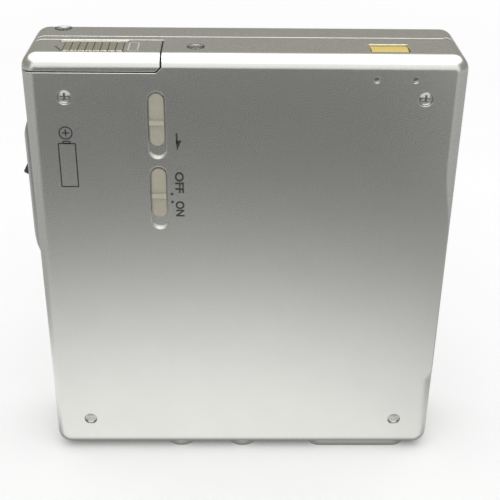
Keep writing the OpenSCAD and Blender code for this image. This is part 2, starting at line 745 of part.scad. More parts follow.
// Door pulled sideways, then swung open: the slider moves and carries the hinge pin
module door_slider() {
    color([0.3, 0.3, 0.32]) {
        box(bat_x - 6.4, bat_x + 8, door_d + 0.4, ch_y1 - 0.2, slider_z, in_z - 0.3);
        box(bat_x - 5, bat_x + 5, door_d + 0.5, ch_y1 - 0.4, tongue_z, slider_z + 0.1);
        box(bat_x - 5.5, bat_x + 5.5, door_pin_y - 0.3, door_d + 0.5, in_z - 1.0, in_z - 0.3);
        box(bat_x - 5.5, bat_x + 5.5, door_pin_y - 0.3, door_pin_y + 0.3, in_z - 0.4, door_pin_z);
        bar_x(bat_x - 5.5, bat_x + 5.5, door_pin_y, door_pin_z, door_knuckle_r - 0.05);
        bar_x(bat_x - door_pin_l / 2, bat_x + door_pin_l / 2, door_pin_y, door_pin_z, door_pin_r);
    }
}

// End door over the battery, wrapped round the case corner and ribbed for the thumb
module battery_door() {
    rib_step = rib_span / rib_count;
    color([0.76, 0.76, 0.74]) difference() {
        intersection() {
            cover_form();
            box(-hw - 1, door_x1, -1, door_d, door_z0, plan.z + 1);
        }
        box(bat_x - 5.7, bat_x + 5.7, door_pin_y - 0.55, door_d + 1, in_z - 2, plan.z + 1);
        bar_x(bat_x - door_pin_l / 2 - 0.2, bat_x + door_pin_l / 2 + 0.2, door_pin_y, door_pin_z,
            door_pin_r + run);
        for (k = [0 : rib_count - 1]) at(rib_x0 + k * rib_step, rib_y, plan.z - rib_depth)
            rotate([0, 0, rib_lean]) translate([-rib_w / 2, -rib_l / 2, 0]) cube([rib_w, rib_l, 1]);
        door_corner(door_x1, door_z0, door_chamfer);
    }
}

// Contact plate inside the door that meets the battery
module door_contact() {
    color([0.8, 0.8, 0.8]) {
        box(bat_x - 4, bat_x + 4, 2.2, 5.6, in_z - 0.35, in_z - 0.05);
        box(bat_x - 2, bat_x + 2, 3.4, 5.4, bat_z0 + bat_len + 0.1, in_z - 0.3);
    }
}

// Rocking lever with a pointed nub
module jog_lever() {
    color([0.25, 0.25, 0.26]) {
        box(-hw - 0.9, -hw + 0.6, block_arc_y - 1.1, block_arc_y + 1.1,
            lever_z - lever_half, lever_z + lever_half);
        at(-hw, block_arc_y + 1.1, lever_z) rotate([90, 0, 0]) linear_extrude(py(2.2))
            polygon([[px(-0.8), pz(-1.1)], [px(-lever_out), pz(-0.3)],
                [px(-lever_out), 0], [px(-0.8), pz(2.4)]]);
        bar_y(-hw + 0.2, lever_z, block_arc_y - 1.8, block_arc_y + 1.8, 0.3);
    }
}

module pill_key(z) {
    slab_x(-hw - block_out + 0.1, -hw + 1.1, block_arc_y, z) pill(key_l, key_w);
    slab_x(-hw + 1.05, -hw + key_back, block_arc_y, z) pill(key_l + 0.7, key_w + 0.8);
}

module stop_key() {
    color([0.6, 0.6, 0.6]) pill_key(key_z[0]);
}

module pause_key() {
    color([0.6, 0.6, 0.6]) pill_key(key_z[1]);
}

module record_key() {
    color([0.7, 0.15, 0.15]) {
        bar_x(-hw - block_out + 0.4, -hw + 1.1, block_arc_y, record_key_z, record_key_r);
        bar_x(-hw + 1.05, -hw + key_back, block_arc_y, record_key_z, record_key_r + 0.5);
    }
}

// Slide on the front that releases the lid
module open_slider() {
    color([0.6, 0.6, 0.6]) difference() {
        union() {
            box(-hw, -hw + 1.05, opener_y - 1.25, opener_y + 1.25, opener_z0, opener_z1);
            box(-hw + 1.0, -hw + 1.6, opener_y - 1.7, opener_y + 1.7,
                opener_z0 - 0.5, opener_z1 + 0.5);
        }
        for (z = [opener_z0 + 3.5 : 1.5 : opener_z0 + 8.1])
            box(-hw - 1, -hw + 0.25, opener_y - 2, opener_y + 2, z, z + 0.5);
    }
}

// Lid shell with end walls, shallow front and rear lips and hinge lugs
module lid_cover() {
    color([0.78, 0.78, 0.76]) difference() {
        union() {
            difference() {
                lid_form();
                box(-hw - 1, -hw + 2.4, 0, plan.y - lip_d, corner_r, plan.z - corner_r);
                box(hw - 2.6, hw + 1, 0, plan.y - lip_d, corner_r, plan.z - corner_r);
                box(hw - corner_r, hw + 1, 0, rim_y + 0.5, -1, plan.z + 1);
            }
            for (z = [hinge_z0 - lug_gap - lug_l, hinge_z1 + lug_gap]) {
                bar_z(hinge_x, hinge_y, z, z + lug_l, 0.9);
                box(hinge_x - 0.9, hinge_x + 0.9, hinge_y, in_y + 0.2, z, z + lug_l);
            }
        }
        bar_z(hinge_x, hinge_y, hinge_z0 - lug_gap - lug_l - 1, hinge_z1 + lug_gap + lug_l + 1,
            pin_r + run);
        slab(window_x, window_z, plan.y - 2, plan.y + 1) round_rect(window_w + 0.2, window_l + 0.2, 1.6);
        for (z = [-1, in_z - 1]) bar_z(lid_screw_x, lid_screw_y, z, z + wall + 2, 0.75);
        bar_z(lid_screw_x, lid_screw_y, plan.z - lid_seat, plan.z + 1, end_head_r + 0.07);
        bar_z(lid_screw_x, lid_screw_y, -1, lid_seat, end_head_r + 0.07);
    }
}

// Folded holder under the lid that takes the disc cartridge
module disc_holder() {
    y0 = bay_y1 + 0.05;
    y1 = y0 + 0.3;
    color([0.68, 0.69, 0.7]) difference() {
        union() {
            box(holder_x0, holder_x1, y0, y1, ch_z0 + 0.4, ch_z1 - 0.4);
            for (z = [[ch_z0 + 0.2, bay_z0 - 0.05], [bay_z1 + 0.05, ch_z1 - 0.2]])
                box(holder_x0, holder_x1, holder_y0, y1, z[0], z[1]);
            for (z = [[ch_z0 + 0.2, bay_z0 + 1.4], [bay_z1 - 1.4, ch_z1 - 0.2]])
                box(holder_x0, holder_x1, holder_y0, bay_y0 - 0.03, z[0], z[1]);
            for (x = [-24, 24]) for (z = [10, plan.z - 10]) bar_y(x, z, y1 - 0.1, in_y - 0.05, 1.2);
        }
        box(-4.6, 4.6, y0 - 1, y0 + 1, disc_z + 10, disc_z + 35);
        for (x = [-15, 15]) slab(x, 20, y0 - 1, y0 + 0.35) round_rect(13, 14, 2);
        bar_z(lid_screw_x, lid_screw_y, -1, plan.z + 1, screw_r);
    }
}

// Two rails that guide the recording head under the lid
module head_rail() {
    color([0.75, 0.75, 0.76]) for (x = [-7.2, 6.0])
        box(x, x + 1.2, bay_y1 + 0.35, in_y - 0.15, disc_z + 9, disc_z + 35.6);
}

module head_carriage() {
    color([0.3, 0.3, 0.3]) box(-5.8, 5.8, head_y, in_y - 0.2, lens_z - 3, lens_z + 3);
}

module record_head() {
    color([0.8, 0.7, 0.4]) box(-1.5, 1.5, bay_y1 + 0.05, head_y, lens_z - 1.8, lens_z + 1.8);
}

module display_window() {
    color([0.1, 0.1, 0.12]) slab(window_x, window_z, in_y, plan.y) round_rect(window_w, window_l, 1.5);
}

module lcd_panel() {
    color([0.55, 0.6, 0.5]) slab(window_x, window_z, in_y - 0.45, in_y)
        square([window_w - 1, window_l - 2], center = true);
}

module lid_screws() {
    color([0.82, 0.82, 0.83]) {
        at(lid_screw_x, lid_screw_y, plan.z - lid_seat) screw_head(end_head_r, end_head_h);
        bar_z(lid_screw_x, lid_screw_y, ch_z1 - 2, plan.z - lid_seat + 0.05, screw_r);
        at(lid_screw_x, lid_screw_y, lid_seat) rotate([180, 0, 0]) screw_head(end_head_r, end_head_h);
        bar_z(lid_screw_x, lid_screw_y, lid_seat - 0.05, ch_z0 + 2, screw_r);
    }
}

in_frame() {
    bottom_cover();
    main_chassis();
    front_panel();
    control_block();
    rear_panel();
    hinge_block();
    hinge_pin();
    jack_panel();
    phones_jack();
    line_in_jack();
    mic_jack();
    remote_contacts();
    dc_jack();
    dc_jack_pin();
    dc_flap();
    main_board();
    board_chips();
    gumstick_battery();
    battery_spring();
    case_terminals();
    corner_screws();
    end_screw();
    mechanism_plate();
    damper_bushes();
    spindle_stator();
    sled_motor();
    guide_rods();
    rod_brackets();
    slide_switches();
    lid_cover();
    disc_holder();
    display_window();
    lcd_panel();
    lid_screws();
    head_rail();
    head_carriage();
    record_head();
    hold_knob();
    record_knob();
    door_slider();
    battery_door();
    door_contact();
    jog_lever();
    stop_key();
    pause_key();
    record_key();
    open_slider();
    turntable();
    rotor();
    pickup_base();
    objective_lens();
    lead_screw();
}
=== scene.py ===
"""Looks of the portable minidisc recorder: materials, thin trim, printed marks, studio and camera."""
import math

import bpy
from mathutils import Matrix, Vector


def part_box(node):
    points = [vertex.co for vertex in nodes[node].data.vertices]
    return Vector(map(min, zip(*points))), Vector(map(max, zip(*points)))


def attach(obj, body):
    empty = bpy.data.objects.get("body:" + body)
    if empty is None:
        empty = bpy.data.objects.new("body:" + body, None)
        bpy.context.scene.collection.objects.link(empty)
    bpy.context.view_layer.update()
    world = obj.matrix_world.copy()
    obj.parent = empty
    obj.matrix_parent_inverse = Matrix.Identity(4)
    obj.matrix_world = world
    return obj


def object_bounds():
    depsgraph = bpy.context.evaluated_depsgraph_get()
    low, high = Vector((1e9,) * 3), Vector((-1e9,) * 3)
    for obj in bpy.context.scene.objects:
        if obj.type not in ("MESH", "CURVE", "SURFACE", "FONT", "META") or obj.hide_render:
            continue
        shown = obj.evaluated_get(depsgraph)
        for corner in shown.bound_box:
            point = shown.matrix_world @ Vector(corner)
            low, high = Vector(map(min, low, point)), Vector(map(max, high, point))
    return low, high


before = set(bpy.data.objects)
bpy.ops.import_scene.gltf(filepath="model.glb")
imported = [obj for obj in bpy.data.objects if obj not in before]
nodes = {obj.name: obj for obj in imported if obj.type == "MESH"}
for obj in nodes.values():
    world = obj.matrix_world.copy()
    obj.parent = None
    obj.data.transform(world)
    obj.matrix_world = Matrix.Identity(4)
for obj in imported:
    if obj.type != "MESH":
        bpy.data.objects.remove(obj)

cad_low, cad_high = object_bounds()
MM = 0.001

# Places taken from the frame
cover_low, cover_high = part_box("bottom_cover")
MID_X = (cover_low.x + cover_high.x) / 2
END_Z = cover_low.z
UNDER_Y = cover_low.y
CASE_L = (cover_high.z - cover_low.z) / MM
COVER_D = (cover_high.y - cover_low.y) / MM
REAR_X = (cover_high.x - MID_X) / MM


def place(x, y, z):
    """Case millimetres (x from the middle, y from the underside, z from the jack end) to frame metres."""
    return Vector((MID_X + x * MM, UNDER_Y + y * MM, END_Z + z * MM))


def mesh_object(name, points, faces, material):
    """Mesh of one material, linked to the scene."""
    mesh = bpy.data.meshes.new(name)
    mesh.from_pydata(points, [], faces)
    mesh.materials.append(material)
    obj = bpy.data.objects.new(name, mesh)
    bpy.context.scene.collection.objects.link(obj)
    return obj


def circle(radius, steps):
    """Points round a circle about the origin."""
    angles = [2 * math.pi * k / steps for k in range(steps)]
    return [(radius * math.cos(a), radius * math.sin(a)) for a in angles]


# Shader nodes


def new_material(name):
    mat = bpy.data.materials.new(name)
    mat.use_nodes = True
    return mat, mat.node_tree, mat.node_tree.nodes["Principled BSDF"]


def object_coords(tree):
    return tree.nodes.new("ShaderNodeTexCoord").outputs["Object"]


def calculate(tree, operation, *values):
    """Math node fed by sockets or plain numbers."""
    node = tree.nodes.new("ShaderNodeMath")
    node.operation = operation
    for socket, value in zip(node.inputs, values):
        if isinstance(value, bpy.types.NodeSocket):
            tree.links.new(value, socket)
        else:
            socket.default_value = value
    return node.outputs["Value"]


def distance(tree, vector):
    """Length of a vector, which for object coordinates is the distance from the object's origin."""
    node = tree.nodes.new("ShaderNodeVectorMath")
    node.operation = "LENGTH"
    tree.links.new(vector, node.inputs[0])
    return node.outputs["Value"]


def remap(tree, value, reach, levels=(0.0, 1.0), kind="SMOOTHSTEP"):
    """Maps a value from one range onto another, and holds it at the ends."""
    ranged = tree.nodes.new("ShaderNodeMapRange")
    ranged.interpolation_type = kind
    ranged.inputs["From Min"].default_value, ranged.inputs["From Max"].default_value = reach
    ranged.inputs["To Min"].default_value, ranged.inputs["To Max"].default_value = levels
    tree.links.new(value, ranged.inputs["Value"])
    return ranged.outputs["Result"]


# Materials

NOISE_REACH = (0.3, 0.7)
ROUGH_SPREAD = 0.15
BUMP_DEPTH = 0.02 * MM
BROAD_GRAIN = 0.02


def noise(tree, scale, detail, roughness):
    """Noise on object coordinates, so it stays with its piece."""
    texture = tree.nodes.new("ShaderNodeTexNoise")
    texture.inputs["Scale"].default_value = scale
    texture.inputs["Detail"].default_value = detail
    texture.inputs["Roughness"].default_value = roughness
    tree.links.new(object_coords(tree), texture.inputs["Vector"])
    return texture.outputs["Fac"]


def tint(tree, shader, value, dark, light):
    """Base colour that wanders between two shades."""
    ramp = tree.nodes.new("ShaderNodeValToRGB")
    for stop, position, colour in zip(ramp.color_ramp.elements, NOISE_REACH, (dark, light)):
        stop.position = position
        stop.color = (*colour, 1.0)
    tree.links.new(value, ramp.inputs["Fac"])
    tree.links.new(ramp.outputs["Color"], shader.inputs["Base Color"])


def shade(colour, factor):
    return tuple(min(1.0, c * factor) for c in colour)


def uneven_gloss(tree, shader, value, rough):
    """Roughness that wanders about its middle value."""
    levels = (rough * (1.0 - ROUGH_SPREAD), rough * (1.0 + ROUGH_SPREAD))
    tree.links.new(remap(tree, value, NOISE_REACH, levels, "LINEAR"), shader.inputs["Roughness"])


def relief(tree, shader, value, strength, edge):
    """Fine bump over softened edges."""
    bevel = tree.nodes.new("ShaderNodeBevel")
    bevel.samples = 6
    bevel.inputs["Radius"].default_value = edge
    bump = tree.nodes.new("ShaderNodeBump")
    bump.inputs["Strength"].default_value = strength
    bump.inputs["Distance"].default_value = BUMP_DEPTH
    tree.links.new(value, bump.inputs["Height"])
    tree.links.new(bevel.outputs["Normal"], bump.inputs["Normal"])
    tree.links.new(bump.outputs["Normal"], shader.inputs["Normal"])


def metal(name, colour, rough, grain, edge=0.12 * MM, contrast=0.05):
    """Satin or bright metal with a fine grain."""
    mat, tree, shader = new_material(name)
    shader.inputs["Metallic"].default_value = 1.0
    fine = noise(tree, grain, detail=5.0, roughness=0.6)
    broad = noise(tree, grain * BROAD_GRAIN, detail=2.0, roughness=0.5)
    tint(tree, shader, broad, shade(colour, 1.0 - contrast), shade(colour, 1.0 + contrast))
    uneven_gloss(tree, shader, fine, rough)
    relief(tree, shader, fine, 0.06, edge)
    return mat


def plastic(name, colour, rough, grain=2500.0, edge=0.1 * MM, contrast=0.06):
    """Moulded plastic with a faint texture."""
    mat, tree, shader = new_material(name)
    fine = noise(tree, grain, detail=3.0, roughness=0.5)
    tint(tree, shader, fine, shade(colour, 1.0 - contrast), shade(colour, 1.0 + contrast))
    uneven_gloss(tree, shader, fine, rough)
    relief(tree, shader, fine, 0.08, edge)
    return mat


def ink(name, colour):
    """Flat dark ink, slightly uneven, for printed marks and for painted shade."""
    mat, tree, shader = new_material(name)
    patches = noise(tree, 6000.0, detail=3.0, roughness=0.6)
    tint(tree, shader, patches, shade(colour, 0.8), shade(colour, 1.25))
    shader.inputs["Roughness"].default_value = 0.55
    return mat


def lens_glass(name, dark, light):
    """Coated lens whose colour shifts from spot to spot."""
    mat, tree, shader = new_material(name)
    shader.inputs["Roughness"].default_value = 0.05
    shader.inputs["Coat Weight"].default_value = 1.0
    patches = noise(tree, 700.0, detail=2.0, roughness=0.55)
    tint(tree, shader, patches, dark, light)
    return mat


ALUMINIUM = metal("satin_aluminium", (0.80, 0.805, 0.765), 0.27, 9000.0, edge=0.2 * MM, contrast=0.012)
GRIP_METAL = metal("grip_aluminium", (0.762, 0.733, 0.594), 0.27, 9000.0, contrast=0.012)
PANEL = metal("panel_silver", (0.76, 0.765, 0.74), 0.3, 7000.0, contrast=0.015)
STEEL = metal("bright_steel", (0.84, 0.84, 0.815), 0.16, 5000.0, edge=0.05 * MM)
SHEET = metal("pressed_steel", (0.66, 0.67, 0.69), 0.32, 5000.0)
SCREW_STEEL = metal("screw_steel", (0.58, 0.58, 0.565), 0.2, 5000.0, edge=0.05 * MM)
DULL_STEEL = metal("dull_steel", (0.40, 0.40, 0.385), 0.3, 5000.0, edge=0.05 * MM)
BRASS = metal("contact_brass", (0.80, 0.64, 0.33), 0.25, 5000.0, edge=0.05 * MM)
COPPER = metal("copper_coils", (0.72, 0.42, 0.25), 0.35, 9000.0)
BLACK_AND_SHADE = plastic("black_plastic", (0.03, 0.03, 0.033), 0.45)
LEVER = plastic("lever_plastic", (0.06, 0.06, 0.062), 0.4)
RED = plastic("red_plastic", (0.42, 0.03, 0.03), 0.4)
YELLOW = plastic("yellow_plastic", (0.72, 0.56, 0.16), 0.32)
CREAM = plastic("cream_plastic", (0.40, 0.38, 0.305), 0.42, edge=0.3 * MM)
# Lighter copy of the cream plastic: painted light on the thumb bars and a painted highlight on the grip
# frame
PAINTED_LIGHT_CREAM = plastic("cream_plastic_with_painted_light", (0.54, 0.515, 0.42), 0.42)
GREY = plastic("grey_plastic", (0.35, 0.355, 0.36), 0.4)
BOARD = plastic("board_green", (0.02, 0.13, 0.06), 0.35)
CELL = metal("battery_skin", (0.70, 0.72, 0.76), 0.3, 6000.0)
RUBBER = plastic("rubber", (0.015, 0.015, 0.015), 0.8)
WINDOW = plastic("display_window", (0.015, 0.016, 0.02), 0.08)
LCD = plastic("display_panel", (0.24, 0.28, 0.2), 0.25)
LENS = lens_glass("lens_glass", (0.16, 0.12, 0.34), (0.3, 0.22, 0.5))
# Dark ink for the printed marks; the same ink paints the shade in the gaps round the end screws
INK_AND_SHADE = ink("printed_ink_and_painted_shade", (0.032, 0.031, 0.03))

LOOKS = {
    ALUMINIUM: ["bottom_cover", "lid_cover", "battery_door", "door_slider", "jack_panel"],
    PANEL: ["front_panel", "rear_panel", "control_block", "hinge_block"],
    STEEL: ["hinge_pin", "guide_rods", "lead_screw", "dc_jack_pin", "rotor", "sled_motor",
            "case_terminals"],
    SCREW_STEEL: ["corner_screws"],
    DULL_STEEL: ["end_screw", "lid_screws"],
    SHEET: ["mechanism_plate", "disc_holder", "head_rail", "battery_spring", "door_contact"],
    BRASS: ["remote_contacts", "record_head"],
    COPPER: ["spindle_stator"],
    BLACK_AND_SHADE: ["main_chassis", "phones_jack", "line_in_jack", "dc_jack", "slide_switches", "board_chips",
            "pickup_base", "rod_brackets", "head_carriage", "turntable"],
    LEVER: ["jog_lever"],
    RED: ["mic_jack", "record_key"],
    YELLOW: ["dc_flap"],
    CREAM: ["hold_knob", "record_knob"],
    GREY: ["stop_key", "pause_key", "open_slider"],
    BOARD: ["main_board"],
    CELL: ["gumstick_battery"],
    RUBBER: ["damper_bushes"],
    WINDOW: ["display_window"],
    LCD: ["lcd_panel"],
    LENS: ["objective_lens"],
}

for material, names in LOOKS.items():
    for name in names:
        slots = nodes[name].data.materials
        slots.clear()
        slots.append(material)

# Skin over the step in the rear edge, where the fillet runs out into a plain corner and back

SKIN_LIFT = 0.012
SKIN_OVERLAP = 0.2
SKIN_FLAT = 0.04
SKIN_RISE = 0.1
SEAM_ROOM = 0.05
FILLET = 2.1
STEP_X = 35.42
PLAIN_X = 35.62
PLAIN_R = 0.25
EASE_STEPS = 12
TURN_STEPS = 12
# Each stop gives its place along the edge, the rear face there and the radius of the corner
EDGE_STOPS = [
    (15.8, REAR_X, FILLET),
    (18.6, PLAIN_X, PLAIN_R),
    (47.0, PLAIN_X, PLAIN_R),
    (60.0, REAR_X, FILLET),
]


def edge_rows():
    """Stops of the edge with eased steps between them."""
    rows = [EDGE_STOPS[0]]
    for start, end in zip(EDGE_STOPS, EDGE_STOPS[1:]):
        for k in range(1, EASE_STEPS + 1):
            share = k / EASE_STEPS
            ease = share * share * (3.0 - 2.0 * share)
            rows.append((start[0] + (end[0] - start[0]) * share,
                         start[1] + (end[1] - start[1]) * ease,
                         start[2] + (end[2] - start[2]) * ease))
    return rows


def edge_profile(rear, radius):
    """Section of the edge, from the underside round the corner and up the rear side."""
    angles = [math.pi / 2 * k / TURN_STEPS for k in range(TURN_STEPS + 1)]
    middle_x = rear - radius
    middle_y = radius - SKIN_LIFT
    turn = [(middle_x + radius * math.sin(a), middle_y - radius * math.cos(a)) for a in angles]
    start = [(rear - FILLET - SKIN_OVERLAP, -SKIN_LIFT), (rear - radius - SKIN_FLAT, -SKIN_LIFT)]
    end = [(rear, radius + SKIN_FLAT), (rear, FILLET + SKIN_RISE), (STEP_X, COVER_D - SEAM_ROOM)]
    return start + turn + end


def rear_edge():
    rows = edge_rows()
    points = []
    for z, rear, radius in rows:
        points += [place(x, y, z) for x, y in edge_profile(rear, radius)]
    across = len(points) // len(rows)
    faces = []
    for j in range(len(rows) - 1):
        for k in range(across - 1):
            corner = j * across + k
            faces.append([corner, corner + 1, corner + across + 1, corner + across])
    obj = mesh_object("rear_edge", points, faces, ALUMINIUM)
    obj.data.polygons.foreach_set("use_smooth", [True] * len(faces))
    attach(obj, "case")


rear_edge()

# Round thumb bars on the slide knobs, in a lighter copy of the cream plastic: painted light on the lit
# tops of the bars

BAR_R = 0.5 * MM
BAR_W = 2.4 * MM
BAR_SINK = 0.22 * MM
BAR_STEPS = 16


def thumb_bar(knob, body):
    low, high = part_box(knob)
    middle = (low + high) / 2
    points = []
    for side in (-BAR_W / 2, BAR_W / 2):
        for k in range(BAR_STEPS + 1):
            angle = math.pi * k / BAR_STEPS
            points.append((middle.x + side, low.y + BAR_SINK - BAR_R * math.sin(angle),
                           middle.z - BAR_R + BAR_R * math.cos(angle)))
    row = BAR_STEPS + 1
    faces = [[k, k + 1, row + k + 1, row + k] for k in range(BAR_STEPS)]
    ends = [list(range(row)), list(range(row, 2 * row))]
    obj = mesh_object(body + "_bar", points, faces + ends, PAINTED_LIGHT_CREAM)
    obj.data.polygons.foreach_set("use_smooth", [True] * BAR_STEPS + [False, False])
    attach(obj, body)


thumb_bar("hold_knob", "hold")
thumb_bar("record_knob", "record_switch")

# Printed marks, in case millimetres

PRINT_LIFT = 0.015
LINE = 0.22


def on_underside(x, z):
    return place(x, -PRINT_LIFT, z)


def on_end(x, y):
    """Point on the battery end, y from the underside."""
    return place(x, y, CASE_L + PRINT_LIFT)


def under_print(x, y):
    """Point on the battery end, between its skin and its marks."""
    return place(x, y, CASE_L + PRINT_LIFT / 2)


def flat_sheet(name, loops, body="case", spot=on_underside, material=INK_AND_SHADE):
    """Flat outlines lying on a face of the case; each loop is a list of points on that face."""
    points = []
    faces = []
    for loop in loops:
        start = len(points)
        points += [spot(*point) for point in loop]
        faces.append(list(range(start, start + len(loop))))
    obj = mesh_object(name, points, faces, material)
    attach(obj, body)


def stroke(x0, z0, x1, z1, width):
    """Rectangle along a line."""
    half = Vector((x1 - x0, z1 - z0)).normalized() * width / 2
    return [(x0 - half.y, z0 + half.x), (x0 + half.y, z0 - half.x),
            (x1 + half.y, z1 - half.x), (x1 - half.y, z1 + half.x)]


def oblong(x0, x1, z0, z1):
    return [(x0, z0), (x1, z0), (x1, z1), (x0, z1)]


def disc(x, z, radius, steps=24):
    return [(x + dx, z + dz) for dx, dz in circle(radius, steps)]


def ring(x, z, radius, width, steps=32):
    """Ring as a chain of short strokes."""
    corners = disc(x, z, radius, steps)
    return [stroke(*corners[k], *corners[(k + 1) % steps], width) for k in range(steps)]


def frame_lines(x0, x1, z0, z1, width):
    return [stroke(x0, z0, x1, z0, width), stroke(x0, z1, x1, z1, width),
            stroke(x0, z0, x0, z1, width), stroke(x1, z0, x1, z1, width)]


WORD_H = 1.5
WORD_BOLD = 0.03


def print_word(name, word, x, z, length):
    """A word that reads down the case, its letters turned a quarter."""
    curve = bpy.data.curves.new(name, "FONT")
    curve.body = word
    curve.align_x = "LEFT"
    curve.offset = WORD_BOLD
    obj = bpy.data.objects.new(name, curve)
    bpy.context.scene.collection.objects.link(obj)
    bpy.context.view_layer.update()
    flat = bpy.data.meshes.new_from_object(obj)
    bpy.data.objects.remove(obj)
    low = [min(v.co[k] for v in flat.vertices) for k in range(2)]
    high = [max(v.co[k] for v in flat.vertices) for k in range(2)]
    for vertex in flat.vertices:
        along = (vertex.co.x - low[0]) / (high[0] - low[0]) * length
        up = (vertex.co.y - low[1]) / (high[1] - low[1]) * WORD_H
        vertex.co = on_underside(x + up, z - along)
    flat.materials.append(INK_AND_SHADE)
    printed = bpy.data.objects.new(name, flat)
    bpy.context.scene.collection.objects.link(printed)
    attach(printed, "case")


OFF_PLACE = (-11.78, 58.75)
OFF_LENGTH = 3.9
ON_PLACE = (-11.77, 53.3)
ON_LENGTH = 2.9
DOT_PLACES = [(-12.34, 54.66), (-12.3, 53.15)]
DOT_R = 0.24
ARROW_SHAFT = (-11.3, 65.8, -11.3, 63.9)
ARROW_LINE = 0.3
ARROW_HEAD = [(-11.45, 64.4), (-11.3, 62.6), (-10.5, 64.5)]
DOOR_STROKE = (-30.8, 4.6, -29.6, 2.4)
BATTERY_X = (-30.85, -28.05)
BATTERY_Z = (55.98, 63.83)
TIP_X = (-30.03, -28.93)
TIP_H = 0.4
PLUS_X = -29.5
PLUS_Z = 65.7
PLUS_ARM = 0.6
PLUS_RING_R = 1.06


def battery_symbol():
    """Upright cell with its tip, and a plus in a ring above it."""
    cell = frame_lines(*BATTERY_X, *BATTERY_Z, LINE)
    tip = frame_lines(*TIP_X, BATTERY_Z[1], BATTERY_Z[1] + TIP_H, LINE)
    plus = [stroke(PLUS_X - PLUS_ARM, PLUS_Z, PLUS_X + PLUS_ARM, PLUS_Z, LINE),
            stroke(PLUS_X, PLUS_Z - PLUS_ARM, PLUS_X, PLUS_Z + PLUS_ARM, LINE)]
    return cell + tip + ring(PLUS_X, PLUS_Z, PLUS_RING_R, LINE) + plus


print_word("mark_off", "OFF", *OFF_PLACE, OFF_LENGTH)
print_word("mark_on", "ON", *ON_PLACE, ON_LENGTH)
flat_sheet("mark_dots", [disc(*spot, DOT_R) for spot in DOT_PLACES])
flat_sheet("mark_arrow", [stroke(*ARROW_SHAFT, ARROW_LINE), ARROW_HEAD])
flat_sheet("mark_door", [stroke(*DOOR_STROKE, LINE)], "door", on_end)
flat_sheet("mark_battery", battery_symbol())

# Painted shade: dark rings in the gaps round the end screws

END_SCREW = (-8.1, 4.84)
LID_SCREW = (-30.94, 14.5)
SCREW_SHADE_R = 1.39
SCREW_SHADE_W = 0.15

flat_sheet("end_screw_gap_shade", ring(*END_SCREW, SCREW_SHADE_R, SCREW_SHADE_W), "case", on_end)
flat_sheet("lid_screw_gap_shade", ring(*LID_SCREW, SCREW_SHADE_R, SCREW_SHADE_W), "lid", on_end)

# Straight grip bars on the battery door, on a flat ground, with painted shade in the gaps between them,
# and the small frame beside them in a pale colour that is a painted highlight

GRIP_X = -29.4
GRIP_STEP = 1.21
GRIP_BARS = 8
GRIP_Y = (2.3, 6.9)
GRIP_GAP = 0.16
GRIP_H = 0.06
GRIP_FRAME = (-18.9, -17.4, 2.5, 6.7)
GROUND_X = (-30.2, -17.2)
GROUND_Y = (2.1, 6.95)


def grip_bars():
    points = []
    faces = []
    for bar in range(GRIP_BARS):
        x0 = GRIP_X + bar * GRIP_STEP + GRIP_GAP / 2
        loop = oblong(x0, x0 + GRIP_STEP - GRIP_GAP, *GRIP_Y)
        start = len(points)
        points += [place(x, y, CASE_L) for x, y in loop]
        points += [place(x, y, CASE_L + GRIP_H) for x, y in loop]
        faces.append([start + 4, start + 5, start + 6, start + 7])
        for near, far in [(0, 1), (1, 2), (2, 3), (3, 0)]:
            faces.append([start + near, start + far, start + 4 + far, start + 4 + near])
    obj = mesh_object("grip_bars", points, faces, GRIP_METAL)
    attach(obj, "door")


gaps_start = GRIP_X - GRIP_GAP / 2
gaps_end = GRIP_X + GRIP_BARS * GRIP_STEP + GRIP_GAP / 2
ground = [oblong(GROUND_X[0], gaps_start, *GROUND_Y), oblong(gaps_end, GROUND_X[1], *GROUND_Y)]

grip_bars()
# Black sheet under the grip bars: painted shade in the gaps between them
flat_sheet("grip_gap_shade", [oblong(gaps_start, gaps_end, *GRIP_Y)], "door", under_print, BLACK_AND_SHADE)
flat_sheet("grip_ground", ground, "door", under_print, ALUMINIUM)
# Pale frame lines: a painted highlight
flat_sheet("grip_frame_highlight", frame_lines(*GRIP_FRAME, LINE), "door", on_end, PAINTED_LIGHT_CREAM)

# Studio: pale floor, white surroundings, a wide soft box overhead and cards for the metal to reflect

WHITE = (1.0, 1.0, 1.0, 1.0)
ROOM_LIGHT = 0.5
FLOOR_SIZE = 6.0
FLOOR_DROP = 0.02 * MM
WHITE_REACH = (0.10, 0.40)
SOFT_BOX = (1.6, 1.5)
SOFT_BOX_GLOW = 0.98
SOFT_BOX_PLACE = (0.0, -0.2, 0.75)
SOFT_BOX_TARGET = (0.0, -0.2, 0.0)
CARD_STEPS = 48

# Pool card: its levels run outward from its middle by shares of its size, and the reaches are in metres
POOL_X = -0.012
POOL_DROP = 0.01 * MM
POOL_SIZE = 0.5
POOL_SQUEEZE = 0.7
POOL_LEVELS = [(0.0, 1.0), (0.06, 0.93), (0.10, 0.75), (0.17, 0.40),
               (0.25, 0.20), (0.40, 0.10), (1.0, 0.08)]
SIDE_REACH = (0.046, 0.075)
SIDE_LEAN = 0.22
SIDE_LEVEL = 0.42
FOOT_RATIO = 0.23
FOOT_REACH = (0.0075, 0.0115)
FOOT_LEVEL = 0.25

CARD_DISTANCE = 0.6
CARD_HEIGHT = 0.55
CARD_GLOW = (0.30, 0.288, 0.262, 1.0)
CARD_OPENING = 75.0


def seen_rays(tree):
    """1 for rays from the camera, off metal or through glass, 0 for those that light the object."""
    rays = tree.nodes.new("ShaderNodeLightPath").outputs
    shown = calculate(tree, "MAXIMUM", rays["Is Camera Ray"], rays["Is Glossy Ray"])
    return calculate(tree, "MAXIMUM", shown, rays["Is Transmission Ray"])


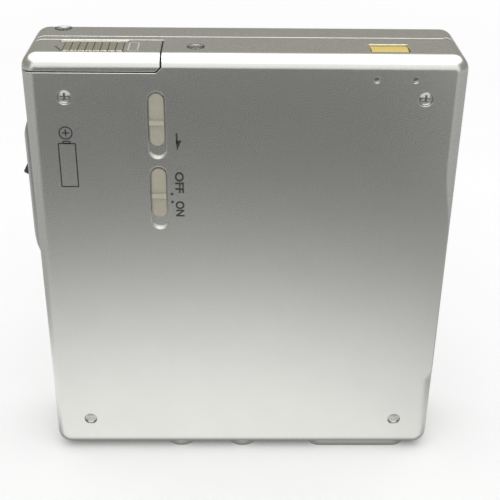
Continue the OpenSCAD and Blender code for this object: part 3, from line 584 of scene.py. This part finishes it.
def mix_shaders(tree, share, first, second, output):
    """Output that goes from the first shader to the second by a share."""
    mixed = tree.nodes.new("ShaderNodeMixShader")
    tree.links.new(share, mixed.inputs["Fac"])
    tree.links.new(first, mixed.inputs[1])
    tree.links.new(second, mixed.inputs[2])
    tree.links.new(mixed.outputs["Shader"], output.inputs["Surface"])


def studio_world():
    """Even light on the object from a room that is seen as white."""
    world = bpy.data.worlds.new("studio")
    bpy.context.scene.world = world
    world.use_nodes = True
    tree = world.node_tree
    room = tree.nodes["Background"]
    room.inputs["Color"].default_value = WHITE
    room.inputs["Strength"].default_value = ROOM_LIGHT
    backdrop = tree.nodes.new("ShaderNodeBackground")
    backdrop.inputs["Color"].default_value = WHITE
    mix_shaders(tree, seen_rays(tree), room.outputs["Background"], backdrop.outputs["Background"],
                tree.nodes["World Output"])


def stage_mesh(name, points, faces, material):
    obj = mesh_object(name, points, faces, material)
    return obj


def floor_material():
    """Pale floor that keeps the shadow near the object and runs out into the white backdrop."""
    mat, tree, shader = new_material("pale_floor")
    grain = noise(tree, 40.0, detail=2.0, roughness=0.55)
    tint(tree, shader, grain, (0.975, 0.975, 0.975), (0.985, 0.985, 0.985))
    shader.inputs["Roughness"].default_value = 0.9
    shader.inputs["Specular IOR Level"].default_value = 0.0
    white = tree.nodes.new("ShaderNodeEmission")
    far = remap(tree, distance(tree, object_coords(tree)), WHITE_REACH)
    share = calculate(tree, "MULTIPLY", far, seen_rays(tree))
    mix_shaders(tree, share, shader.outputs["BSDF"], white.outputs["Emission"],
                tree.nodes["Material Output"])
    return mat


def floor():
    half = FLOOR_SIZE / 2
    corners = [(*point, 0.0) for point in oblong(-half, half, -half, half)]
    obj = stage_mesh("floor", corners, [[0, 1, 2, 3]], floor_material())
    obj.location.z = cad_low.z - FLOOR_DROP


def glow_material(name):
    """Glowing card; returns the material, its tree and the emission."""
    mat, tree, shader = new_material(name)
    glow = tree.nodes.new("ShaderNodeEmission")
    tree.nodes.remove(shader)
    tree.links.new(glow.outputs["Emission"], tree.nodes["Material Output"].inputs["Surface"])
    return mat, tree, glow


def reflection_only(obj):
    """A card that the metal shows and that neither shades the object nor stands in the picture."""
    obj.visible_camera = False
    obj.visible_diffuse = False
    obj.visible_shadow = False
    obj.visible_transmission = False


def pool_levels(tree, coords):
    """Brightness of the pool card by the distance from its middle."""
    squeeze = tree.nodes.new("ShaderNodeMapping")
    squeeze.inputs["Scale"].default_value = (POOL_SQUEEZE / POOL_SIZE, 1.0 / POOL_SIZE, 0.0)
    tree.links.new(coords, squeeze.inputs["Vector"])
    ramp = tree.nodes.new("ShaderNodeValToRGB")
    stops = ramp.color_ramp.elements
    for _ in POOL_LEVELS[2:]:
        stops.new(0.5)
    for stop, (position, glow) in zip(stops, POOL_LEVELS):
        stop.position = position
        stop.color = (glow, glow, glow, 1.0)
    tree.links.new(distance(tree, squeeze.outputs["Vector"]), ramp.inputs["Fac"])
    return ramp.outputs["Color"]


def even_sides(tree, levels, x, y):
    """Levels that give way to one even level at the card's sides."""
    offside = calculate(tree, "MULTIPLY_ADD", y, SIDE_LEAN, calculate(tree, "ABSOLUTE", x))
    sides = tree.nodes.new("ShaderNodeMix")
    sides.data_type = "FLOAT"
    sides.inputs["B"].default_value = SIDE_LEVEL
    tree.links.new(remap(tree, offside, SIDE_REACH), sides.inputs["Factor"])
    tree.links.new(levels, sides.inputs["A"])
    return sides.outputs["Result"]


def footprint(tree, x, y):
    """Falls to the contact shadow's level under the case, and is 1 outside it."""
    width = calculate(tree, "ABSOLUTE", calculate(tree, "ADD", x, POOL_X))
    depth = calculate(tree, "ABSOLUTE", y)
    reach = calculate(tree, "MAXIMUM", calculate(tree, "MULTIPLY", width, FOOT_RATIO), depth)
    return remap(tree, reach, FOOT_REACH, (FOOT_LEVEL, 1.0))


def light_pool():
    """Graded card on the floor, bright at the case, dim in front of it and even at its sides."""
    mat, tree, glow = glow_material("pool_card")
    coords = object_coords(tree)
    parts = tree.nodes.new("ShaderNodeSeparateXYZ")
    tree.links.new(coords, parts.inputs["Vector"])
    x, y = parts.outputs["X"], parts.outputs["Y"]
    levels = even_sides(tree, pool_levels(tree, coords), x, y)
    lit = calculate(tree, "MULTIPLY", levels, footprint(tree, x, y))
    tree.links.new(lit, glow.inputs["Strength"])
    rim = [(*point, 0.0) for point in circle(POOL_SIZE, CARD_STEPS)]
    obj = stage_mesh("pool_card", rim, [list(range(CARD_STEPS))], mat)
    obj.location = (POOL_X, 0.0, cad_low.z - POOL_DROP)
    reflection_only(obj)


def card_ring():
    """Grey cards behind the set and at its sides, open toward the front."""
    mat, _, glow = glow_material("grey_card")
    glow.inputs["Color"].default_value = CARD_GLOW
    start = math.radians(CARD_OPENING / 2 - 90.0)
    sweep = math.radians(360.0 - CARD_OPENING)
    row = CARD_STEPS + 1
    angles = [start + sweep * k / CARD_STEPS for k in range(row)]
    points = []
    for height in (0.0, CARD_HEIGHT):
        points += [(CARD_DISTANCE * math.cos(a), CARD_DISTANCE * math.sin(a), height) for a in angles]
    faces = [[k, k + 1, row + k + 1, row + k] for k in range(CARD_STEPS)]
    reflection_only(stage_mesh("grey_cards", points, faces, mat))


def soft_box():
    """Wide lamp whose face has the given brightness."""
    lamp = bpy.data.lights.new("soft_box", "AREA")
    lamp.shape = "RECTANGLE"
    lamp.size, lamp.size_y = SOFT_BOX
    lamp.energy = SOFT_BOX_GLOW * math.pi * lamp.size * lamp.size_y
    obj = bpy.data.objects.new("soft_box", lamp)
    obj.location = SOFT_BOX_PLACE
    aim = Vector(SOFT_BOX_TARGET) - Vector(SOFT_BOX_PLACE)
    obj.rotation_euler = aim.to_track_quat("-Z", "Y").to_euler()
    bpy.context.scene.collection.objects.link(obj)


studio_world()
floor()
light_pool()
card_ring()
soft_box()

# Camera of the photograph, fitted to the case edges and screws

PITCH = 0.5082
YAW = 0.0182
ROLL = 0.0124
EYE = place(-1.7755, -153.39, 129.293)
FOCAL_PIXELS = 1002.24
PICTURE_PIXELS = 500.0
SENSOR = 36.0
CLIP_START = 0.01

forward = Vector((math.sin(YAW) * math.cos(PITCH), math.cos(YAW) * math.cos(PITCH), -math.sin(PITCH)))
level = Vector((math.cos(YAW), -math.sin(YAW), 0.0))
upward = level.cross(forward)
right = math.cos(ROLL) * level + math.sin(ROLL) * upward
top = -math.sin(ROLL) * level + math.cos(ROLL) * upward

camera_data = bpy.data.cameras.new("camera")
camera_data.sensor_width = SENSOR
camera_data.lens = SENSOR * FOCAL_PIXELS / PICTURE_PIXELS
camera_data.clip_start = CLIP_START
camera = bpy.data.objects.new("camera", camera_data)
camera.matrix_world = Matrix.Translation(EYE) @ Matrix((right, top, -forward)).transposed().to_4x4()
bpy.context.scene.collection.objects.link(camera)
bpy.context.scene.camera = camera
bpy.context.scene.view_settings.view_transform = "Standard"
